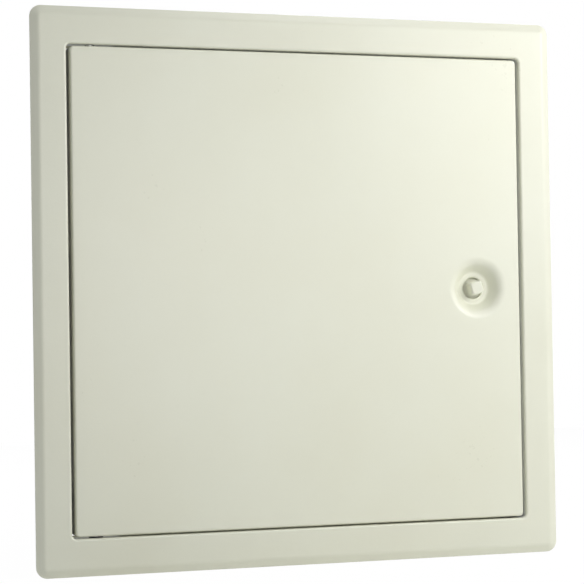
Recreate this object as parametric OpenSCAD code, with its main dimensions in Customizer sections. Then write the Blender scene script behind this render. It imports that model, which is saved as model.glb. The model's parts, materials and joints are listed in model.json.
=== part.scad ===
// Flush steel access panel: bevelled surround, hinged door, square key lock.
// Millimetres. X right, Z up, Y into the wall. The front faces -Y.
// Origin: centre of the opening, on the wall plane where the surround rests.

/* [Door] */
// Door width
door_w = 300; // [250:1:600]
// Door height
door_h = 300; // [250:1:600]
// Front face to the rear edge of the folded returns
door_depth = 13; // [12.5:0.1:14.5]
// Sheet thickness of door and surround
sheet = 1; // [0.8:0.05:1.2]
// Outer radius of the folded door edge
door_edge_r = 1.3; // [1.3:0.05:1.9]
// Plan radius of the door corners
door_corner_r = 2.4; // [2:0.05:3]

/* [Surround] */
// Gap between door and opening at the sides
gap_side = 2.2; // [2.1:0.1:4]
// Gap between door and opening at top and bottom
gap_top = 1.2; // [1.2:0.1:3]
// Width of the surround outside the door edge
rim_w = 24.4; // [24:0.2:34]
// Height of the surround above the wall
rise = 3.2; // [3:0.1:3.6]
// Width of the outer bevel
bevel_w = 6.4; // [5:0.1:6.8]
// Radius of the soft bend into the bevel
bevel_r = 7; // [5:0.1:9]
// Plan radius of the outer corners
outer_corner_r = 7; // [7:0.1:12]
// Radius of the rolled inner edge
roll_r = 1.6; // [1.5:0.1:2.4]
// Plan radius of the opening corners
neck_corner_r = 3; // [2.5:0.1:5]
// Reach of the stop lip past the opening edge
lip_reach = 15; // [13:0.5:16]
// Thickness of the stop pads
pad_t = 2.7; // [2.4:0.1:3.2]

/* [Hinge] */
// Pivot to the hinge side edge of the door
pivot_inset = 14; // [13.5:0.5:18]
// Pivot to the front face
pivot_depth = 7; // [6.5:0.1:7.5]
// Diameter of pin and bolt
pin_d = 4; // [3.5:0.1:4.4]
// Travel of the spring bolt
bolt_travel = 8; // [7:0.5:9]

/* [Lock] */
// Spindle to the lock side edge of the door
lock_inset = 30; // [29:0.5:36]
// Height of the spindle above the middle
lock_z = 0; // [-60:1:60]
// Radius of the dish rim where it rolls over from the door face
dish_outer = 6.5; // [5.5:0.1:7.5]
// Size of the square drive
key_size = 8; // [7:0.1:8.4]
// Turn of the square drive seen from the front
key_turn = 15; // [0:1:45]
// Drive end behind the door face
key_setback = 0.8; // [0.5:0.1:3]
// Spindle to cam tip
cam_reach = 29; // [24:0.5:30]

/* [Fixing] */
// Strap middle to the end of the door height
strap_inset = 50; // [45:1:90]
// Strap width
strap_w = 22; // [20:0.5:30]
// Strap length
strap_len = 52; // [40:1:90]
// Hole at the strap end
strap_hole_d = 5.2; // [4.2:0.1:6.5]

/* [Hidden] */
$fn = 64;
eps = 0.01;
// Clearances
run_clear = 0.3;
pin_clear = 0.05;
weld_clear = 0.1;
// Planes along Y
face_y = -rise;
door_rear = face_y + door_depth;
pad_front = door_rear + run_clear;
lip_front = pad_front + pad_t;
rail_t = 1;
lip_back = lip_front + rail_t;
flange_back = face_y + sheet;
pivot_y = face_y + pivot_depth;
// Opening and outside
open_x = door_w / 2 + gap_side;
open_z = door_h / 2 + gap_top;
outer_x = door_w / 2 + rim_w;
outer_z = door_h / 2 + rim_w;
// Bevel
bevel_dir = [0.936, 0.352];
bevel_run = (bevel_w - bevel_r * bevel_dir.y) / bevel_dir.x;
bevel_end = face_y + bevel_r * (1 - bevel_dir.x) + bevel_run * bevel_dir.y;
// Pivots
pivot_x = -door_w / 2 + pivot_inset;
bush_wall = 1.2;
bush_d = pin_d + 2 * bush_wall;
bush_flange_t = 0.4;
bush_flange_d = bush_d + 2.6;
bush_tail = 1.6;
neck_margin = 1.3;
neck_end = pivot_y + bush_d / 2 + neck_margin;
swing_r = norm([pivot_inset, max(pivot_depth, door_depth - pivot_depth)]);
lip_start_x = pivot_x + swing_r + 1.2;
ledge_z = door_h / 2 + 0.4;
// Rails
rail_in_x = open_x + sheet;
rail_in_z = open_z + sheet;
rail_out_x = rail_in_x + rail_t;
rail_out_z = rail_in_z + rail_t;
rail_bend = 0.5;
rail_foot = 10;
rail_lip = sheet + lip_reach;
hinge_arc = sqrt(swing_r * swing_r - (lip_front - pivot_y) * (lip_front - pivot_y));
hinge_lip = rail_in_x + pivot_x - hinge_arc - 2 * run_clear;
// Door
plate_x = door_w / 2 - door_edge_r;
plate_z = door_h / 2 - door_edge_r;
door_back = face_y + sheet;
return_in_z = door_h / 2 - sheet;
// Brackets
bracket_t = 1.5;
bracket_w = 24;
bracket_bend = 1;
bracket_leg = pivot_depth - sheet + pin_d / 2 + 3;
bracket_end = return_in_z - weld_clear;
pin_bracket_h = 27;
bolt_bracket_h = 36;
pin_hole_d = pin_d + 2 * pin_clear;
return_hole_d = pin_d + 2 * run_clear;
pin_head_d = pin_d + 3;
pin_head_t = 2;
pin_shoulder_d = pin_d + 2;
pin_chamfer = 0.6;
// Spring bolt
clip_t = 1;
clip_d = pin_d + 3.4;
clip_groove = 0.5;
clip_top = bracket_end - bracket_t - run_clear;
bolt_leg_top = bracket_end - bolt_bracket_h + bracket_t;
bolt_end = rail_out_z + bush_flange_t + 1;
finger_drop = bolt_travel;
finger_r = 5;
finger_len = 14;
spring_wire = 0.7;
spring_r = pin_d / 2 + run_clear + spring_wire / 2 + 0.2;
spring_turns = 10;
spring_steps = 14;
spring_sides = 6;
// Dish
lock_x = door_w / 2 - lock_inset;
barrel_d = 18;
bush_bore = barrel_d - 3.3;
ring_d = barrel_d + 0.8;
ring_t = 0.7;
ring_soft = 0.5;
flat_r = ring_d / 2 + run_clear;
dish_inner = 2.1;
dish_wall = 6.5;
dish_dir = [0.6, 0.8];
dish_r = flat_r + (dish_outer + dish_inner) * dish_dir.y + dish_wall * dish_dir.x;
dish_floor = face_y + (dish_outer + dish_inner) * (1 - dish_dir.x) + dish_wall * dish_dir.y;
dish_back = dish_floor + sheet;
ring_front = dish_floor - ring_t;
// Lock
cam_t = 2.7;
cam_front = lip_back + run_clear;
stop_t = 1;
stop_front = cam_front - stop_t;
barrel_end = stop_front - run_clear;
nut_af = 24;
nut_t = 3.5;
journal_d = 10;
base_d = bush_bore - 2 * run_clear;
base_t = 3.3;
stop_groove = 2.2;
stop_wall = 0.6;
bore_end = barrel_end - stop_groove - stop_wall;
base_back = bore_end - run_clear;
base_front = base_back - base_t;
key_chamfer = 0.6;
shank = 7;
shank_clear = 0.1;
shank_end = cam_front + cam_t - 0.2;
cam_w = 15;
cam_hub_r = 9.5;
washer_d = 16;
washer_t = 1.4;
screw_d = 6;
screw_len = 12;
screw_head_af = 10;
screw_head_t = 4;
screw_hole = screw_d + 2 * pin_clear;
stop_tab_r = 7.9;
stop_tab_w = 2.6;
stop_tab_t = 1.4;
stop_tab_in = 1.6;
stop_swing = 90;
stop_start = 90;
// Straps
strap_t = 1.5;
strap_z = door_h / 2 - strap_inset;
strap_front = face_y + rise + 1;
strap_hole_y = strap_front + strap_len - strap_w / 2;
rivet_d = 2.4;
rivet_y = (neck_end + lip_front - rail_bend) / 2;
rivet_head_d = min(4.4, lip_front - rail_bend - neck_end - 0.2);
rivet_head_t = 0.9;
rivet_pitch = strap_w / 2;
// Pads
pad_size = 14;

// Extrusion of a flat outline along +Y, outline y becoming Z.
module slab_y(y0, len) {
  translate([0, y0 + len, 0]) rotate([90, 0, 0]) linear_extrude(height = len) children();
}

// Turning of a (radius, depth) outline about the Y axis.
module turned_y() {
  rotate([-90, 0, 0]) rotate_extrude() children();
}

// Cylinder along +Y.
module rod_y(y0, len, d) {
  translate([0, y0, 0]) rotate([-90, 0, 0]) cylinder(h = len, d = d);
}

// Quarter of a bent sheet: centre at the origin, from -Y round to -X.
module bend_quarter(r_out, t) {
  intersection() {
    difference() {
      circle(r = r_out);
      circle(r = r_out - t);
    }
    translate([-r_out, -r_out]) square(r_out);
  }
}

// One (outward, depth) section carried round a rectangle with round corners.
module carried_round(hx, hz, r) {
  for (m = [0, 1]) mirror([m, 0, 0])
    translate([hx, 0, -(hz - r)]) linear_extrude(height = 2 * (hz - r)) children();
  for (m = [0, 1]) mirror([0, 0, m])
    rotate([0, -90, 0]) translate([hz, 0, -(hx - r)]) linear_extrude(height = 2 * (hx - r)) children();
  for (mx = [0, 1], mz = [0, 1]) mirror([mx, 0, 0]) mirror([0, 0, mz])
    translate([hx - r, 0, -(hz - r)]) rotate([-90, 0, 0])
      rotate_extrude(angle = 90) translate([r, 0]) children();
}

// Flat rectangle with round corners.
module round_rect(hx, hz, r) {
  square([2 * hx, 2 * (hz - r)], center = true);
  square([2 * (hx - r), 2 * hz], center = true);
  for (sx = [-1, 1], sz = [-1, 1])
    translate([sx * (hx - r), sz * (hz - r)]) circle(r = r);
}

// Section of the bevelled outer edge, outer face at zero.
module bevel_section() {
  lap = (outer_corner_r - bevel_w) / 2;
  far = 2 * bevel_r;
  start = [-bevel_w + bevel_r * bevel_dir.y, face_y + bevel_r * (1 - bevel_dir.x)];
  translate([-bevel_w - lap, face_y]) square([lap, sheet]);
  translate([-bevel_w, face_y + bevel_r]) intersection() {
    difference() {
      circle(r = bevel_r);
      circle(r = bevel_r - sheet);
    }
    polygon([[0, 0], [0, -far], far * [bevel_dir.y, -bevel_dir.x]]);
  }
  polygon([start, [0, bevel_end], [0, min(0, bevel_end + sheet / bevel_dir.x)],
    start + sheet * [-bevel_dir.y, bevel_dir.x]]);
  translate([-sheet, bevel_end]) square([sheet, -bevel_end]);
}

// Section of the rolled inner edge and the drawn neck, inner face at zero.
module neck_section() {
  translate([roll_r, face_y]) square([sheet, sheet]);
  translate([roll_r, face_y + roll_r]) bend_quarter(roll_r, sheet);
  translate([0, face_y + roll_r]) square([sheet, neck_end - face_y - roll_r]);
}

module face_frame() {
  color([0.89, 0.89, 0.82]) difference() {
    union() {
      carried_round(outer_x, outer_z, outer_corner_r) bevel_section();
      slab_y(face_y, sheet) difference() {
        round_rect(outer_x - bevel_w, outer_z - bevel_w, outer_corner_r - bevel_w);
        round_rect(open_x + roll_r, open_z + roll_r, neck_corner_r + roll_r);
      }
      carried_round(open_x, open_z, neck_corner_r) neck_section();
    }
    pivot_hole(bush_d + 2 * pin_clear);
  }
}

// Vertical hole through top and bottom at the pivot line.
module pivot_hole(d) {
  translate([pivot_x, pivot_y, -rail_out_z - eps]) cylinder(h = 2 * (rail_out_z + eps), d = d);
}

// Section of a rail: foot behind the surround, wall beside the neck, lip of the given reach.
module rail_section(reach) {
  wall_top = flange_back + rail_bend + rail_t;
  wall_end = lip_back - rail_bend - rail_t;
  translate([rail_bend + rail_t, wall_top]) bend_quarter(rail_bend + rail_t, rail_t);
  translate([rail_bend + rail_t, flange_back]) square([rail_foot, rail_t]);
  translate([0, wall_top]) square([rail_t, wall_end - wall_top]);
  translate([-rail_bend, wall_end]) mirror([1, 0]) mirror([0, 1]) bend_quarter(rail_bend + rail_t, rail_t);
  translate([-reach, lip_front]) square([reach - rail_bend, rail_t]);
}

// Top rail outline, from the hinge side to the lock side, with its lip cut to a ledge at the pivot.
module long_rail() {
  difference() {
    translate([rail_out_x, 0, 0]) rotate([0, -90, 0]) translate([rail_in_z, 0, 0])
      linear_extrude(height = 2 * rail_out_x) rail_section(rail_lip);
    translate([-rail_out_x - 1, lip_front - rail_bend, 0])
      cube([lip_start_x + rail_out_x + 1, 2 * rail_t + rail_bend, ledge_z]);
    translate([-rail_out_x - 1, lip_front - rail_bend, 0])
      cube([rail_t + 1 + hinge_lip, 2 * rail_t + rail_bend, rail_in_z]);
    translate([open_x - lip_reach, lip_front - rail_bend, 0])
      cube([lip_reach + sheet + rail_t + 1, 2 * rail_t + rail_bend, rail_in_z]);
    pivot_hole(bush_d + 2 * pin_clear);
  }
}

module top_rail() {
  color([0.87, 0.87, 0.80]) long_rail();
}

module bottom_rail() {
  color([0.87, 0.87, 0.80]) mirror([0, 0, 1]) long_rail();
}

// Holes for the strap rivets through a side wall at the right.
module rivet_holes() {
  for (sz = [-1, 1], rz = [-1, 1])
    translate([rail_in_x - 1, rivet_y, sz * strap_z + rz * rivet_pitch / 2])
      rotate([0, 90, 0]) cylinder(h = rail_t + strap_t + 2, d = rivet_d + 2 * pin_clear);
}

module side_rail(reach) {
  difference() {
    translate([rail_in_x, 0, -rail_in_z]) linear_extrude(height = 2 * rail_in_z) rail_section(reach);
    rivet_holes();
  }
}

module lock_rail() {
  color([0.87, 0.87, 0.80]) side_rail(rail_lip);
}

module hinge_rail() {
  color([0.87, 0.87, 0.80]) mirror([1, 0, 0]) side_rail(hinge_lip);
}

// Flanged bush standing on the plane z = 0, barrel upward.
module pivot_bush() {
  difference() {
    union() {
      translate([0, 0, -bush_flange_t]) cylinder(h = bush_flange_t, d = bush_flange_d);
      translate([0, 0, -eps]) cylinder(h = sheet + rail_t + bush_tail + eps, d = bush_d);
    }
    translate([0, 0, -bush_flange_t - 1]) cylinder(h = sheet + rail_t + bush_tail + 4, d = pin_hole_d);
  }
}

module upper_pivot_bush() {
  color([0.12, 0.12, 0.12]) translate([pivot_x, pivot_y, rail_out_z]) difference() {
    union() {
      cylinder(h = bush_flange_t, d = bush_flange_d);
      translate([0, 0, -sheet - rail_t]) cylinder(h = sheet + rail_t + eps, d = bush_d);
    }
    translate([0, 0, -sheet - rail_t - 1]) cylinder(h = sheet + rail_t + bush_flange_t + 2, d = pin_hole_d);
  }
}

module lower_pivot_bush() {
  color([0.12, 0.12, 0.12]) translate([pivot_x, pivot_y, -open_z]) mirror([0, 0, 1]) pivot_bush();
}

module stop_pads() {
  color([0.85, 0.84, 0.78]) for (sz = [-1, 1])
    translate([open_x - pad_size, pad_front, sz > 0 ? open_z - pad_size : -open_z])
      cube([pad_size, pad_t, pad_size]);
}

// Strap at the right, centred on z = 0.
module strap(sz) {
  translate([rail_out_x, 0, sz * strap_z]) difference() {
    union() {
      translate([0, strap_front, -strap_w / 2]) cube([strap_t, strap_hole_y - strap_front, strap_w]);
      translate([0, strap_hole_y, 0]) rotate([0, 90, 0]) cylinder(h = strap_t, d = strap_w);
    }
    translate([-1, strap_hole_y, 0]) rotate([0, 90, 0]) cylinder(h = strap_t + 2, d = strap_hole_d);
    for (rz = [-1, 1]) translate([-1, rivet_y, rz * rivet_pitch / 2])
      rotate([0, 90, 0]) cylinder(h = strap_t + 2, d = rivet_d + 2 * pin_clear);
  }
}

module strap_upper_right() {
  color([0.62, 0.64, 0.66]) strap(1);
}

module strap_lower_right() {
  color([0.62, 0.64, 0.66]) strap(-1);
}

module strap_upper_left() {
  color([0.62, 0.64, 0.66]) mirror([1, 0, 0]) strap(1);
}

module strap_lower_left() {
  color([0.62, 0.64, 0.66]) mirror([1, 0, 0]) strap(-1);
}

module strap_rivets() {
  color([0.70, 0.71, 0.72]) for (m = [0, 1], sz = [-1, 1], rz = [-1, 1]) mirror([m, 0, 0])
    translate([rail_in_x, rivet_y, sz * strap_z + rz * rivet_pitch / 2]) rotate([0, 90, 0]) {
      translate([0, 0, -rivet_head_t]) cylinder(h = rivet_head_t, d = rivet_head_d);
      translate([0, 0, -eps]) cylinder(h = rail_t + strap_t + 2 * eps, d = rivet_d);
      translate([0, 0, rail_t + strap_t]) cylinder(h = rivet_head_t, d = rivet_head_d);
    }
}

// Section of the folded door edge, outer face at zero.
module edge_section() {
  lap = (door_corner_r - door_edge_r) / 2;
  translate([-door_edge_r - lap, face_y]) square([lap, sheet]);
  translate([-door_edge_r, face_y + door_edge_r]) mirror([1, 0]) bend_quarter(door_edge_r, sheet);
  translate([-sheet, face_y + door_edge_r]) square([sheet, door_depth - door_edge_r]);
}

// Section of the pressed dish as (radius, depth).
module dish_section() {
  turn = [dish_r - dish_outer * dish_dir.y, face_y + dish_outer * (1 - dish_dir.x)];
  along = [-dish_dir.x, dish_dir.y];
  across = [dish_dir.y, dish_dir.x];
  foot = turn + dish_wall * along;
  inner = foot - dish_inner * across;
  far = 4 * dish_outer;
  translate([dish_r, face_y]) square([sheet, sheet]);
  translate([dish_r, face_y + dish_outer]) intersection() {
    difference() {
      circle(r = dish_outer);
      circle(r = dish_outer - sheet);
    }
    polygon([[0, 0], [0, -far], [-far, -far], far * [-dish_dir.y, -dish_dir.x]]);
  }
  polygon([turn, turn + sheet * across, foot + sheet * across, foot]);
  translate(inner) intersection() {
    difference() {
      circle(r = dish_inner + sheet);
      circle(r = dish_inner);
    }
    polygon([[0, 0], [0, far], [far, far], far * [dish_dir.y, dish_dir.x]]);
  }
  translate([barrel_d / 2 + weld_clear, dish_floor]) square([flat_r - barrel_d / 2 - weld_clear, sheet]);
}

module door_leaf() {
  color([0.90, 0.90, 0.83]) difference() {
    union() {
      carried_round(door_w / 2, door_h / 2, door_corner_r) edge_section();
      slab_y(face_y, sheet) difference() {
        round_rect(plate_x, plate_z, door_corner_r - door_edge_r);
        translate([lock_x, lock_z]) circle(r = dish_r);
      }
      translate([lock_x, 0, lock_z]) turned_y() dish_section();
    }
    pivot_hole(return_hole_d);
  }
}

module drilled_bracket(h) {
  difference() {
    translate([0, door_back, -h]) mirror([1, 0, 0]) u_bracket(h);
    translate([0, pivot_y, -h - 1]) cylinder(h = h + 2, d = pin_hole_d);
  }
}

// Folded bracket standing from z = 0 to z = h with its web at y = 0.
module u_bracket(h) {
  r = bracket_bend + bracket_t;
  translate([-bracket_w / 2, 0, 0]) rotate([90, 0, 90]) linear_extrude(height = bracket_w) {
    translate([r, r]) bend_quarter(r, bracket_t);
    translate([r, h - r]) mirror([0, 1]) bend_quarter(r, bracket_t);
    translate([0, r]) square([bracket_t, h - 2 * r]);
    translate([r, 0]) square([bracket_leg - r, bracket_t]);
    translate([r, h - bracket_t]) square([bracket_leg - r, bracket_t]);
  }
}

module upper_bolt_bracket() {
  color([0.66, 0.68, 0.70]) translate([pivot_x, 0, bracket_end]) drilled_bracket(bolt_bracket_h);
}

module lower_pivot_bracket() {
  top = -bracket_end + pin_bracket_h;
  color([0.66, 0.68, 0.70]) translate([pivot_x, 0, top]) drilled_bracket(pin_bracket_h);
}

module lower_pivot_pin() {
  tip = rail_out_z + bush_tail + 1;
  head_z = -bracket_end + pin_bracket_h;
  color([0.72, 0.73, 0.74]) translate([pivot_x, pivot_y, 0]) {
    translate([0, 0, head_z]) cylinder(h = pin_head_t, d = pin_head_d);
    translate([0, 0, -tip + pin_chamfer]) cylinder(h = tip - pin_chamfer + head_z + eps, d = pin_d);
    translate([0, 0, -tip]) cylinder(h = pin_chamfer, d1 = pin_d - 2 * pin_chamfer, d2 = pin_d);
    translate([0, 0, -open_z + bush_flange_t + run_clear])
      cylinder(h = gap_top - bush_flange_t - 2 * run_clear, d = pin_shoulder_d);
  }
}

module hinge_bolt() {
  low = bolt_leg_top - bracket_t - finger_drop;
  color([0.72, 0.73, 0.74]) translate([pivot_x, pivot_y, 0]) {
    difference() {
      translate([0, 0, low]) cylinder(h = bolt_end - pin_chamfer - low, d = pin_d);
      translate([0, 0, clip_top - clip_t]) difference() {
        cylinder(h = clip_t, d = pin_d + 1);
        translate([0, 0, -1]) cylinder(h = clip_t + 2, d = pin_d - 2 * clip_groove);
      }
    }
    translate([0, 0, bolt_end - pin_chamfer])
      cylinder(h = pin_chamfer, d1 = pin_d, d2 = pin_d - 2 * pin_chamfer);
    translate([finger_r, 0, low]) rotate([-90, 0, 0]) rotate([0, 0, 90])
      rotate_extrude(angle = 90) translate([finger_r, 0]) circle(d = pin_d);
    translate([finger_r, 0, low - finger_r]) rotate([0, 90, 0]) cylinder(h = finger_len, d = pin_d);
  }
}

module bolt_clip() {
  color([0.35, 0.36, 0.37]) translate([pivot_x, pivot_y, clip_top - clip_t + pin_clear]) difference() {
    cylinder(h = clip_t - 2 * pin_clear, d = clip_d);
    translate([0, 0, -1]) cylinder(h = clip_t + 2, d = pin_d - 2 * clip_groove + 2 * pin_clear);
    translate([0, -pin_d * 0.3, -1]) cube([clip_d, pin_d * 0.6, clip_t + 2]);
  }
}

// Point on the spring wire: k counts steps along the coil, s steps round the wire.
function coil_point(k, s, len) =
  let (a = 360 * k / spring_steps, b = 360 * s / spring_sides, r = spring_r + spring_wire / 2 * cos(b))
  [r * cos(a), r * sin(a), spring_wire / 2 * sin(b) + len * k / (spring_turns * spring_steps)];

module bolt_spring() {
  count = spring_turns * spring_steps;
  low = bolt_leg_top + spring_wire / 2 + weld_clear;
  len = clip_top - clip_t - spring_wire / 2 - weld_clear - low;
  n = spring_sides;
  rings = [for (k = [0 : count], s = [0 : n - 1]) coil_point(k, s, len)];
  sides = [for (k = [0 : count - 1], s = [0 : n - 1])
    [k * n + s, (k + 1) * n + s, (k + 1) * n + (s + 1) % n, k * n + (s + 1) % n]];
  ends = [[for (s = [0 : n - 1]) s], [for (s = [n - 1 : -1 : 0]) count * n + s]];
  color([0.55, 0.56, 0.58]) translate([pivot_x, pivot_y, low])
    polyhedron(points = rings, faces = concat(sides, ends));
}

// Room in the bush end for the stop tab to swing a quarter turn.
module stop_room() {
  half = asin((stop_tab_w / 2 + 2 * run_clear) / stop_tab_r);
  start = stop_start + half;
  reach = barrel_d;
  sweep = stop_swing + 2 * half;
  intersection() {
    difference() {
      circle(d = barrel_d + 2);
      circle(r = stop_tab_r - stop_tab_t / 2 - run_clear);
    }
    polygon([[0, 0], for (k = [0 : 4]) reach * [cos(start - sweep * k / 4), sin(start - sweep * k / 4)]]);
  }
}

// Section of the lock bush: low soft collar, wide bore, bearing.
module bush_section() {
  bore_r = bush_bore / 2;
  bearing_r = journal_d / 2 + pin_clear;
  polygon([[bore_r + ring_soft, ring_front], [ring_d / 2 - 2 * ring_soft, ring_front],
    [ring_d / 2, dish_floor], [bore_r, dish_floor], [bore_r, ring_front + ring_soft]]);
  translate([bore_r, dish_floor - eps]) square([barrel_d / 2 - bore_r, barrel_end - dish_floor + eps]);
  translate([bearing_r, bore_end]) square([barrel_d / 2 - bearing_r, barrel_end - bore_end]);
}

module lock_bush() {
  color([0.88, 0.88, 0.81]) translate([lock_x, 0, lock_z]) difference() {
    turned_y() bush_section();
    slab_y(barrel_end - stop_groove, stop_groove + 1) stop_room();
  }
}

module lock_nut() {
  color([0.70, 0.71, 0.73]) translate([lock_x, 0, lock_z]) difference() {
    rotate([0, 30, 0]) translate([0, dish_back, 0]) rotate([-90, 0, 0])
      cylinder(h = nut_t, d = nut_af / cos(30), $fn = 6);
    rod_y(dish_back - 1, nut_t + 2, barrel_d + 2 * pin_clear);
  }
}

// Square with its corners rounded by a circle.
module soft_square(size, corner_d) {
  intersection() {
    square(size, center = true);
    circle(d = corner_d);
  }
}

// Side view of the drive with its front edges chamfered.
module key_outline(front, half) {
  tip = half - key_chamfer;
  back = base_front + base_t / 2;
  polygon([[-tip, front], [tip, front], [half, front + key_chamfer], [half, back], [-half, back],
    [-half, front + key_chamfer]]);
}

module lock_spindle() {
  key_front = face_y + key_setback;
  key_corner = key_size * 0.66;
  half = key_size / 2;
  color([0.88, 0.88, 0.81]) translate([lock_x, 0, lock_z]) difference() {
    union() {
      intersection() {
        rotate([0, -key_turn, 0]) {
          intersection() {
            translate([0, 0, -half]) linear_extrude(height = key_size) key_outline(key_front, half);
            rotate([0, 90, 0]) translate([0, 0, -half])
              linear_extrude(height = key_size) key_outline(key_front, half);
          }
        }
        rod_y(key_front - 1, base_front - key_front + 2, 2 * key_corner);
      }
      rod_y(base_front, base_t, base_d);
      rod_y(base_back - eps, stop_front - base_back + eps, journal_d);
      slab_y(stop_front - eps, shank_end - stop_front + eps) soft_square(shank, journal_d - 0.4);
    }
    rod_y(shank_end - screw_len, screw_len + 1, screw_hole);
  }
}

module stop_washer() {
  color([0.64, 0.65, 0.66]) translate([lock_x, 0, lock_z]) {
    slab_y(stop_front, stop_t) difference() {
      circle(d = barrel_d - 0.4);
      square(shank + 2 * shank_clear, center = true);
    }
    slab_y(barrel_end - stop_tab_in, stop_front - barrel_end + stop_tab_in + eps)
      translate([-stop_tab_w / 2, stop_tab_r - stop_tab_t / 2]) square([stop_tab_w, stop_tab_t]);
  }
}

module lock_cam() {
  tip_r = cam_w / 2;
  color([0.66, 0.67, 0.69]) translate([lock_x, 0, lock_z]) difference() {
    slab_y(cam_front, cam_t) difference() {
      union() {
        circle(r = cam_hub_r);
        translate([-cam_w / 2, 0]) square([cam_w, cam_reach - tip_r]);
        translate([0, cam_reach - tip_r]) circle(r = tip_r);
      }
      square(shank + 2 * shank_clear, center = true);
    }
    translate([cam_w / 2, cam_front, cam_hub_r + 1]) rotate([0, 0, -70])
      translate([-cam_t, -2 * cam_t, 0]) cube([3 * cam_t, 2 * cam_t, cam_reach]);
  }
}

module cam_washer() {
  color([0.72, 0.73, 0.74]) translate([lock_x, 0, lock_z]) difference() {
    rod_y(cam_front + cam_t, washer_t, washer_d);
    rod_y(cam_front + cam_t - 1, washer_t + 2, screw_hole);
  }
}

module cam_screw() {
  seat = cam_front + cam_t + washer_t;
  color([0.72, 0.73, 0.74]) translate([lock_x, 0, lock_z]) {
    translate([0, seat, 0]) rotate([-90, 0, 0])
      cylinder(h = screw_head_t, d = screw_head_af / cos(30), $fn = 6);
    rod_y(shank_end - screw_len + 1, seat - shank_end + screw_len - 1 + eps, screw_d);
  }
}

face_frame();
top_rail();
bottom_rail();
lock_rail();
hinge_rail();
upper_pivot_bush();
lower_pivot_bush();
stop_pads();
strap_upper_left();
strap_lower_left();
strap_upper_right();
strap_lower_right();
strap_rivets();
door_leaf();
upper_bolt_bracket();
lower_pivot_bracket();
lower_pivot_pin();
hinge_bolt();
bolt_clip();
bolt_spring();
lock_bush();
lock_nut();
lock_spindle();
stop_washer();
lock_cam();
cam_washer();
cam_screw();
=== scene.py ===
"""Flush steel access panel: finishes, smooth pressed surfaces, studio light and camera."""
import json
import math

import bmesh
import bpy
import numpy as np
from mathutils import Matrix, Vector


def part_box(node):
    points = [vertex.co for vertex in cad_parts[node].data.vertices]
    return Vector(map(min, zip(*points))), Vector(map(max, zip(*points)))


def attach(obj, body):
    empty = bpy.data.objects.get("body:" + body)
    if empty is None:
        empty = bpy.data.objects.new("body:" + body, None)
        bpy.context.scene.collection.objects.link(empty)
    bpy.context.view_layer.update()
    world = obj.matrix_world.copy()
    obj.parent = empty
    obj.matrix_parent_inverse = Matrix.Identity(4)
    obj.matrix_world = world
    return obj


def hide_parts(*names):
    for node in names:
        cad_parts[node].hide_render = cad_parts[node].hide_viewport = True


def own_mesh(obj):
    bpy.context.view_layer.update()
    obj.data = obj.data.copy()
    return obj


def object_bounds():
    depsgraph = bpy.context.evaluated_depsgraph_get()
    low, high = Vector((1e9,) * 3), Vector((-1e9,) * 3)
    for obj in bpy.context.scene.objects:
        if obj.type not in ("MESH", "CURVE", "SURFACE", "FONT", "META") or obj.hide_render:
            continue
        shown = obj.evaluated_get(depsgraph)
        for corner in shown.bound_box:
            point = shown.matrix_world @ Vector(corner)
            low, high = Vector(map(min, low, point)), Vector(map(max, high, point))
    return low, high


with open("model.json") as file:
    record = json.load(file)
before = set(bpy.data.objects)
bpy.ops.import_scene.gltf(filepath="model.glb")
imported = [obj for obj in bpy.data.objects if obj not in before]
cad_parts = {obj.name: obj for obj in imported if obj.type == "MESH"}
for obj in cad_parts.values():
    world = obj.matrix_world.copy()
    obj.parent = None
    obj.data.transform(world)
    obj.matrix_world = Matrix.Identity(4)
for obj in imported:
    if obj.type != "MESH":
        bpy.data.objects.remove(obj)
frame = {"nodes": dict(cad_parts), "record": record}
cad_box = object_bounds()
nodes = frame["nodes"]

MM = 0.001


def extent(node):
    """Lowest and highest corner of a CAD node in millimetres."""
    low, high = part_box(node)
    return np.array(low) / MM, np.array(high) / MM


# Sizes read from the frame, in millimetres
door_high = extent("door_leaf")[1]
rim_low, rim_high = extent("face_frame")
HX, HZ = door_high[0], door_high[2]
FACE, REAR = rim_low[1], door_high[1]
OUT_X, OUT_Z = rim_high[0], rim_high[2]

# Sizes that the frame does not name, in millimetres
SIDE_GAP, END_GAP = 2.2, 1.2
LOCK_INSET, DISH_DEPTH = 30.0, 8.64
PIVOT_INSET, PIVOT_DEPTH = 14.0, 7.0
SHEET = 1.0
DOOR_CORNER = 2.4
BARREL_RADIUS, BORE_RADIUS = 9.0, 7.35
PIN_RADIUS = 2.0
OPEN_X = HX + SIDE_GAP
OPEN_Z = HZ + END_GAP
LOCK_X, LOCK_Z = HX - LOCK_INSET, 0.0
DISH_FLOOR = FACE + DISH_DEPTH
PIVOT_X, PIVOT_Y = -HX + PIVOT_INSET, FACE + PIVOT_DEPTH


class Value:
    """A shader value: a socket whose arithmetic adds Math nodes to its finish."""

    def __init__(self, finish, socket):
        self.finish = finish
        self.socket = socket

    def math(self, operation, a, b=0.0):
        return self.finish.node("ShaderNodeMath", {"operation": operation}, {0: a, 1: b})

    def __add__(self, other):
        return self.math("ADD", self, other)

    def __radd__(self, other):
        return self.math("ADD", other, self)

    def __sub__(self, other):
        return self.math("SUBTRACT", self, other)

    def __rsub__(self, other):
        return self.math("SUBTRACT", other, self)

    def __mul__(self, other):
        return self.math("MULTIPLY", self, other)

    def __pow__(self, other):
        return self.math("POWER", self, other)


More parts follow.
